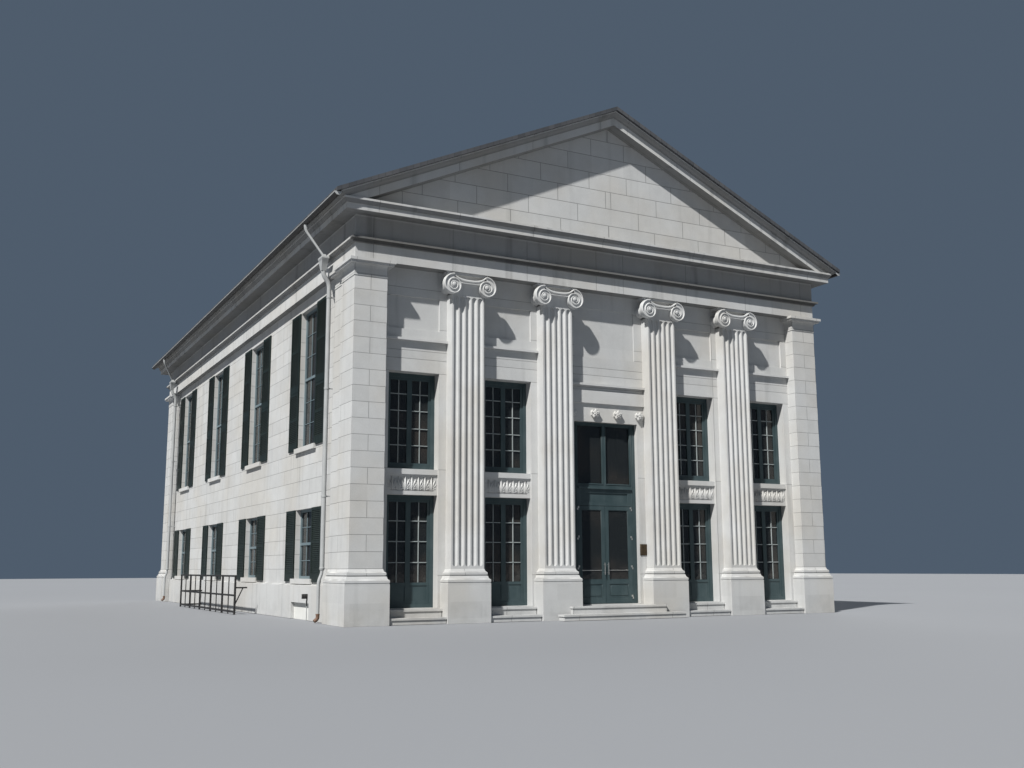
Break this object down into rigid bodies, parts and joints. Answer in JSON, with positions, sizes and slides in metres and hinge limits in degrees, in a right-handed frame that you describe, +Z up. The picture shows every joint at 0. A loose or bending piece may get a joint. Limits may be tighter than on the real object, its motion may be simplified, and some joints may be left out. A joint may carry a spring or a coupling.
{
  "type": "town hall",
  "caption": "Hollow granite town hall: pedimented front with fluted pilasters between corner piers, tall glazed bays, opening double doors, shuttered sides.",
  "frame": {"origin": "middle of the plan on the ground", "axes": "+X to the right across the front as seen from outside, +Y from the front to the back, +Z up"},
  "size_m": [18.4206, 29.23, 15.93],
  "materials": {
    "granite": "fine-pointed light grey granite",
    "roofing": "dark slate",
    "gutter_metal": "light grey paint",
    "floor": "dark boards",
    "joinery": "blue-green grey paint",
    "door_joinery": "blue-green grey paint",
    "sash_paint": "light grey paint",
    "shutter_paint": "very dark green paint",
    "glass": "clear, dark inside",
    "bright_metal": "satin",
    "board_paint": "off-white paint",
    "black_iron": "black paint"
  },
  "bodies": {
    "building": {"front_wall_left": "granite", "front_wall_right": "granite", "front_wall_over_door": "granite", "left_wall": "granite", "right_wall": "granite", "back_wall": "granite", "corner_piers": "granite", "pilaster_plinths": "granite", "pilaster_shafts": "granite", "ionic_capitals": "granite", "entablature_front": "granite", "entablature_back": "granite", "entablature_left": "granite", "entablature_right": "granite", "tympana": "granite", "raking_cornices": "granite", "eaves": "granite", "spandrels": "granite", "front_mouldings": "granite", "base_courses": "granite", "entrance_steps": "granite", "bay_steps": "granite", "window_sills": "granite", "roof_left": "roofing", "roof_right": "roofing", "gutters": "gutter_metal", "downspouts": "gutter_metal", "ground_floor": "floor", "upper_floor": "floor", "front_tall_screens": "joinery", "front_upper_windows": "joinery", "front_glass": "glass", "entrance_frame": "joinery", "transom_glass": "glass", "window_frames": "sash_paint", "window_glass": "glass", "shutters": "shutter_paint", "hinge_jamb_halves": "bright_metal", "vent_boards": "board_paint", "area_railing": "black_iron"},
    "door_left": {"door_left": "door_joinery", "door_glass_left": "glass", "door_pull_left": "bright_metal", "hinge_leaf_left": "bright_metal"},
    "door_right": {"door_right": "door_joinery", "door_glass_right": "glass", "door_pull_right": "bright_metal", "hinge_leaf_right": "bright_metal"}
  },
  "joints": [
    {"name": "door_left_hinge", "type": "hinge", "parent": "building", "child": "door_left", "pos_m": [-0.962, -13.447, 1.9], "axis": [0, 0, 1], "range_deg": [-90, 0]},
    {"name": "door_right_hinge", "type": "hinge", "parent": "building", "child": "door_right", "pos_m": [0.962, -13.447, 1.9], "axis": [0, 0, 1], "range_deg": [0, 90]}
  ]
}
